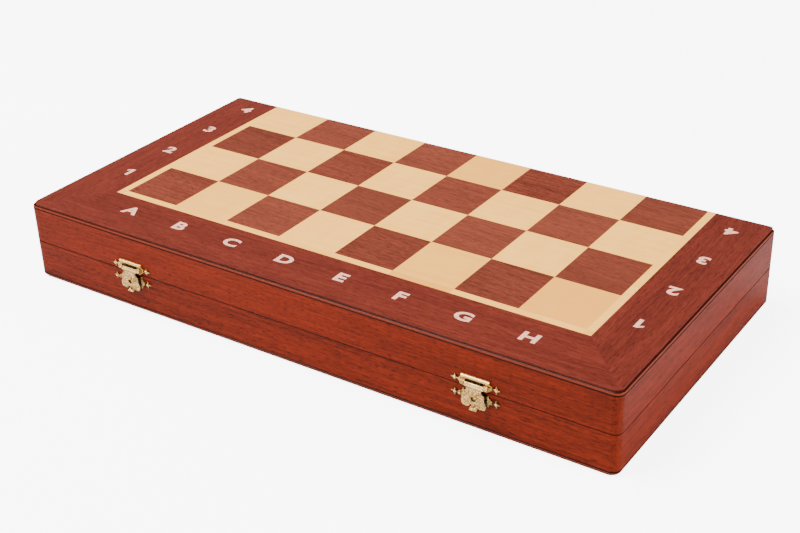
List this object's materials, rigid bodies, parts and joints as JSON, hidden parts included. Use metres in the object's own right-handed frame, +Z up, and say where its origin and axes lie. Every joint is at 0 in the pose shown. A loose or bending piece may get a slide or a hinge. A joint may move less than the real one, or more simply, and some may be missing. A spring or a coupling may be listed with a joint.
{
  "type": "chess set with board",
  "caption": "Hinged wooden chess case with two brass latches; its outer faces open into one board and its trays hold the men.",
  "frame": {"origin": "middle of the shut case's footprint, on the surface that it stands on", "axes": "+X along the hinge from the a-file to the h-file, -Y towards the front with the latches, +Z up"},
  "size_m": [0.493, 0.2536, 0.062],
  "materials": {
    "boxwood": "satin",
    "ebonised_wood": "satin",
    "flocked_tray": "matte",
    "maple_veneer": "gloss",
    "dark_veneer": "gloss",
    "border_veneer": "gloss",
    "rail_wood": "gloss",
    "core_wood": "gloss",
    "brass_pin": "satin",
    "brass_fastener": "satin",
    "stamped_brass": "satin"
  },
  "bodies": {
    "upper_case": {"black_bishop_c": "ebonised_wood", "black_bishop_f": "ebonised_wood", "black_king": "ebonised_wood", "black_knight_b": "ebonised_wood", "black_knight_g": "ebonised_wood", "black_pawn_a": "ebonised_wood", "black_pawn_b": "ebonised_wood", "black_pawn_c": "ebonised_wood", "black_pawn_d": "ebonised_wood", "black_pawn_e": "ebonised_wood", "black_pawn_f": "ebonised_wood", "black_pawn_g": "ebonised_wood", "black_pawn_h": "ebonised_wood", "black_queen": "ebonised_wood", "black_rook_a": "ebonised_wood", "black_rook_h": "ebonised_wood", "latch_pins": "brass_pin", "latch_plates": "stamped_brass", "upper_back_rail": "rail_wood", "upper_board_core": "core_wood", "upper_border_veneer": "border_veneer", "upper_dark_squares": "dark_veneer", "upper_front_rail": "rail_wood", "upper_hinge_leaves": "stamped_brass", "upper_left_rail": "rail_wood", "upper_light_squares": "maple_veneer", "upper_right_rail": "rail_wood", "upper_screws_and_nails": "brass_fastener", "upper_tray": "flocked_tray"},
    "lower_case": {"catch_plates": "stamped_brass", "hinge_pins": "brass_pin", "lower_back_rail": "rail_wood", "lower_board_core": "core_wood", "lower_border_veneer": "border_veneer", "lower_dark_squares": "dark_veneer", "lower_front_rail": "rail_wood", "lower_hinge_leaves": "stamped_brass", "lower_left_rail": "rail_wood", "lower_light_squares": "maple_veneer", "lower_right_rail": "rail_wood", "lower_screws_and_nails": "brass_fastener", "lower_tray": "flocked_tray", "white_bishop_c": "boxwood", "white_bishop_f": "boxwood", "white_king": "boxwood", "white_knight_b": "boxwood", "white_knight_g": "boxwood", "white_pawn_a": "boxwood", "white_pawn_b": "boxwood", "white_pawn_c": "boxwood", "white_pawn_d": "boxwood", "white_pawn_e": "boxwood", "white_pawn_f": "boxwood", "white_pawn_g": "boxwood", "white_pawn_h": "boxwood", "white_queen": "boxwood", "white_rook_a": "boxwood", "white_rook_h": "boxwood"},
    "left_latch_flap": {"left_latch_flap": "stamped_brass"},
    "right_latch_flap": {"right_latch_flap": "stamped_brass"}
  },
  "joints": [
    {"name": "lid_hinge", "type": "hinge", "parent": "lower_case", "child": "upper_case", "pos_m": [0, 0.12477, 0.031], "axis": [-1, 0, 0], "range_deg": [0, 180]},
    {"name": "left_latch_hinge", "type": "hinge", "parent": "upper_case", "child": "left_latch_flap", "pos_m": [-0.1453, -0.12408, 0.0348], "axis": [-1, 0, 0], "range_deg": [0, 140]},
    {"name": "right_latch_hinge", "type": "hinge", "parent": "upper_case", "child": "right_latch_flap", "pos_m": [0.1477, -0.12408, 0.0348], "axis": [-1, 0, 0], "range_deg": [0, 140]}
  ]
}
